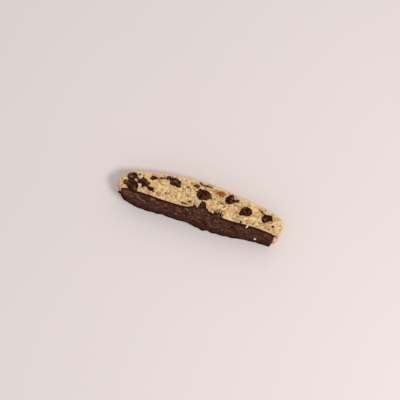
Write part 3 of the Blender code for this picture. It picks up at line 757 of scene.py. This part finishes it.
def make_crumb(material):
    thing = remeshed("crumb", crumb_bmesh(), CRUMB_VOXEL)
    mesh = thing.data
    points, normals = read_points(mesh), read_normals(mesh)

    # The relief.
    upper = points[:, 2] > 0.5 * FACE
    crust = crust_share(mesh, points, normals, upper)
    wall = crust * ease((WALL_HALF - np.abs(points[:, 2] - 0.5 * FACE)) / 1.6)
    crumb_height, tone, crumb_hollow = crumb_relief(points)
    crust_height, crust_hollow = crust_relief(points, wall)
    drop, halo = chip_edges(points, upper, crust)
    smear_and_shade = covered(points, SMEARS_AND_SHADE) * upper
    crack = covered(points, CRACKS, 0.5) * upper
    height = (1.0 - crust) * crumb_height + crust * crust_height - drop
    height += 0.15 * smear_and_shade - 0.55 * crack
    resting = points[:, 2] < RESTING
    height[resting] = np.minimum(height[resting], 0.0)
    write_points(mesh, points + normals * height[:, None])

    # The colours. Along the coat's edge a painted shadow, with a pale line beyond it.
    above, along = above_dip(points)
    dipped = upper & along
    lip_shadow = 0.6 * np.exp(-np.clip(above - 0.1, 0.0, None) / 0.25) * dipped
    porous = 0.85 * covered(points, POROUS, 2.4) * upper * torn(points)
    baked = 0.72 + 0.4 * rough(points, 14.0, 47) + points[:, 1] / 50.0
    edge = 0.45 * np.exp(-((above - 1.1) / 0.55) ** 2) * dipped * (1.0 - np.maximum(smear_and_shade, crack))
    store(mesh, tone=tone, crust=crust, bake=ease(baked) * wall,
          # Hollows darkened as painted shade.
          hollow=np.maximum.reduce([crumb_hollow * (1.0 - crust), 0.9 * crack, crust_hollow]),
          # Chocolate stains, with painted shade along the coat's edge and in the deepest creases and
          # pores.
          stain=np.maximum.reduce([halo, smear_and_shade, lip_shadow, porous]),
          rust=0.75 * covered(points, BROWNED, 2.2, 0.5) * upper,
          pale=np.maximum(covered(points, PALE_BITS_AND_GLINT, 0.5) * upper, edge))
    finish_piece(thing, material, "baked_crumb", "cookie")


# The dipped coat.

def coat_bmesh():
    """The coat with its inner faces moved into the crumb, so that no gap shows."""
    bm = node_bmesh("chocolate_coat")
    wall = {v for f in bm.faces if f.normal.y > 0.6 and f.calc_area() > 1e-6
            and max(w.co.z for w in f.verts) < (COAT_INNER_TOP + 0.1) * MM
            and min(w.co.z for w in f.verts) > (COAT_INNER_FOOT - 0.1) * MM for v in f.verts}
    for vert in bm.verts:
        if abs(vert.co.z / MM - COAT_INNER_TOP) < SAME_LEVEL:
            vert.co.z -= COAT_OVERLAP * MM
        elif abs(vert.co.z / MM - COAT_INNER_FOOT) < SAME_LEVEL:
            vert.co.z += FOOT_OVERLAP * MM
        if vert in wall:
            vert.co.y += COAT_OVERLAP * MM
    run_out = bmesh.ops.create_icosphere(bm, subdivisions=3, radius=1.0)["verts"]
    for vert in run_out:
        vert.co = (RUN_OUT_MIDDLE + vert.co * RUN_OUT_HALF_SIZE) * MM
    return bm


def foot_lobes(points):
    """How far the coat's ragged foot stands out at each point along X."""
    lobes = sum(lobe.reach * np.exp(-((points[:, 0] - lobe.x) / lobe.width) ** 2)
                for lobe in FOOT_LOBES)
    return lobes + 0.2 * rough(points, 2.2, 73)


def end_bulge(points, normals):
    """How far the wall at the coat's right end stands out."""
    away = np.hypot(points[:, 0] - END_BULGE.x, points[:, 1] - END_BULGE.y)
    return END_BULGE.reach * np.exp(-(away / END_BULGE.width) ** 2) * (np.abs(normals[:, 2]) < 0.7)


def make_coat(material):
    """The coat. Its mesh is handed back for what lies on it."""
    thing = remeshed("coat", coat_bmesh(), COAT_VOXEL)
    mesh = thing.data
    points, normals = read_points(mesh), read_normals(mesh)

    # The relief: marks drawn out along the slice, the ragged foot, and the torn splash.
    top = points[:, 2] > FACE
    wall = ease(-normals[:, 1]) * (points[:, 1] < COAT_BACK)
    drawn = points / np.array([11.0, 1.0, 1.0])
    height = (0.14 * rough(drawn, 1.1, 61) + 0.16 * rough(points, 5.0, 67)
              + 0.10 * rough(points, 1.6, 71))
    height += ease((4.0 - points[:, 2]) / 2.4) * wall * foot_lobes(points)
    height += end_bulge(points, normals)
    resting = points[:, 2] < RESTING
    height[resting] = np.minimum(height[resting], 0.0)
    height -= 1.7 * covered(points, POROUS, 1.6) * top * torn(points)
    write_points(mesh, points + normals * height[:, None])

    # The colours: painted shade along the upper edge, on the outer wall and at the foot.
    above, _ = above_dip(points)
    lip = np.exp(-(np.clip(-above, 0.0, None) / 1.6) ** 4)
    foot = ease((9.0 + 1.5 * rough(points, 3.0, 77) - points[:, 2]) / 6.0)
    store(mesh, lip=np.maximum(lip, 0.6 * covered(points, DARK_COAT, 1.0)) * top,
          foot=foot * ease(1.5 + 1.5 * normals[:, 2]), wall=ease(wall * 2.0),
          light=0.7 * covered(points, LIGHT_COAT, 2.5, 0.8) * top,
          glint=covered(points, GLINTS, 0.8) * top)
    finish_piece(thing, material, "coating_chocolate", "chocolate_coat")
    return mesh


# Chips.

def make_chip(name, material, slot):
    thing = remeshed("cut_" + name, node_bmesh(name), CHIP_VOXEL)
    mesh = thing.data
    points, normals = read_points(mesh), read_normals(mesh)
    relief = 0.48 * rough(points, 1.8, 83) + 0.26 * rough(points, 0.9, 89)
    if name in UPPER_BITS:
        relief = 0.3 + 0.4 * relief
    # A cut chip fills the gap round it, and is paler in its middle.
    sideways, core = 0.0, 0.7
    if name not in CRUST_CHIPS:
        sideways = 0.65
        core = ease(depth_inside(points[:, :2], cut_ring(name)) / 1.8)
    points = points + normals * (np.array([sideways, sideways, 0.1]) + relief[:, None])
    points[:, 2] -= NOTCH_DEPTH * covered(points, NOTCHES) * (points[:, 2] > NOTCH_FLOOR)
    if name in LOWER_CHIPS:
        points[:, 2] = np.maximum(points[:, 2], CHIP_FOOT)
    write_points(mesh, points)
    store(mesh, core=core, dark=float(name == "amber_bit_left"),
          warm=covered(points, WARM_CHIPS, 1.6, 0.5), glint=covered(points, GLINTS, 0.8))
    finish_piece(thing, material, slot, name)


def make_loose_crumbs(material, coat_mesh):
    """Grains of crumb that stick to the coat, as one piece."""
    bm = bmesh.new()
    ground, facing = read_points(coat_mesh), read_normals(coat_mesh)
    for crumb in LOOSE_CRUMBS:
        grain = bmesh.ops.create_icosphere(bm, subdivisions=3, radius=0.5)["verts"]
        turn = math.radians(crumb.turn)
        points = np.array([vert.co for vert in grain])
        points *= 1.0 + 0.35 * rough(points * 3.0 + crumb.x, 1.0, 91)[:, None]
        points *= np.array([crumb.length, crumb.width, 0.8 * crumb.width])
        points = points @ np.array([[math.cos(turn), math.sin(turn), 0.0],
                                    [-math.sin(turn), math.cos(turn), 0.0], [0.0, 0.0, 1.0]])
        # The nearest spot on the coat, its upper side before its lower one.
        away = np.linalg.norm(ground[:, :2] - np.array([crumb.x, crumb.y]), axis=1)
        spot = np.argmin(away - 0.1 * ground[:, 2])
        middle = ground[spot] + 0.25 * crumb.width * facing[spot]
        for vert, point in zip(grain, points):
            vert.co = Vector(point + middle) * MM
    mesh = bpy.data.meshes.new("loose_crumbs")
    bm.to_mesh(mesh)
    bm.free()
    store(mesh, tone=1.0, crust=0.5, bake=0.0, hollow=0.0, stain=0.0, rust=0.0, pale=1.4)
    finish_piece(new_object("loose_crumbs", mesh), material, "baked_crumb")


# Stage.

def make_floor(material):
    bm = bmesh.new()
    bmesh.ops.create_grid(bm, x_segments=8, y_segments=8, size=FLOOR_HALF)
    mesh = bpy.data.meshes.new("floor")
    bm.to_mesh(mesh)
    bm.free()
    mesh.materials.append(material)
    floor = new_object("floor", mesh)
    floor.location.z = -FLOOR_GAP * MM


def light_scene():
    """A large lamp high on the right, and even pale light from all round."""
    world = bpy.data.worlds.new("studio")
    bpy.context.scene.world = world
    world.use_nodes = True
    background = world.node_tree.nodes["Background"]
    background.inputs["Color"].default_value = ROOM_COLOUR
    background.inputs["Strength"].default_value = ROOM_STRENGTH
    light = bpy.data.lights.new("key", "AREA")
    light.shape = "DISK"
    light.size = KEY_SIZE
    light.energy = KEY_POWER
    light.color = KEY_COLOUR
    lamp = new_object("key", light)
    lamp.location = KEY_PLACE
    lamp.rotation_euler = KEY_PLACE.to_track_quat("Z", "Y").to_euler()
    settings = bpy.context.scene.view_settings
    settings.view_transform = "Standard"
    settings.look = "None"
    settings.exposure = 0.0
    settings.gamma = 1.0


def place_camera():
    azimuth, elevation = math.radians(VIEW_AZIMUTH), math.radians(VIEW_ELEVATION)
    back = Vector((math.sin(azimuth) * math.cos(elevation),
                   -math.cos(azimuth) * math.cos(elevation), math.sin(elevation)))
    data = bpy.data.cameras.new("camera")
    data.sensor_width = 36.0
    data.lens = data.sensor_width * VIEW_DISTANCE / VIEW_SPAN
    data.clip_start = 0.05
    camera = new_object("camera", data)
    camera.location = VIEW_TARGET + back * VIEW_DISTANCE
    camera.rotation_euler = back.to_track_quat("Z", "Y").to_euler()
    bpy.context.scene.camera = camera


def main():
    place_camera()
    light_scene()
    make_floor(floor_material())
    crumb = crumb_material()
    make_crumb(crumb)
    coat_mesh = make_coat(coat_material())
    make_loose_crumbs(crumb, coat_mesh)
    chip, amber = chip_material(), amber_material()
    for name in UPPER_CHIPS + LOWER_CHIPS + CRUST_CHIPS:
        make_chip(name, chip, "chip_chocolate")
    for name in UPPER_BITS:
        make_chip(name, amber, "amber_bit")


main()
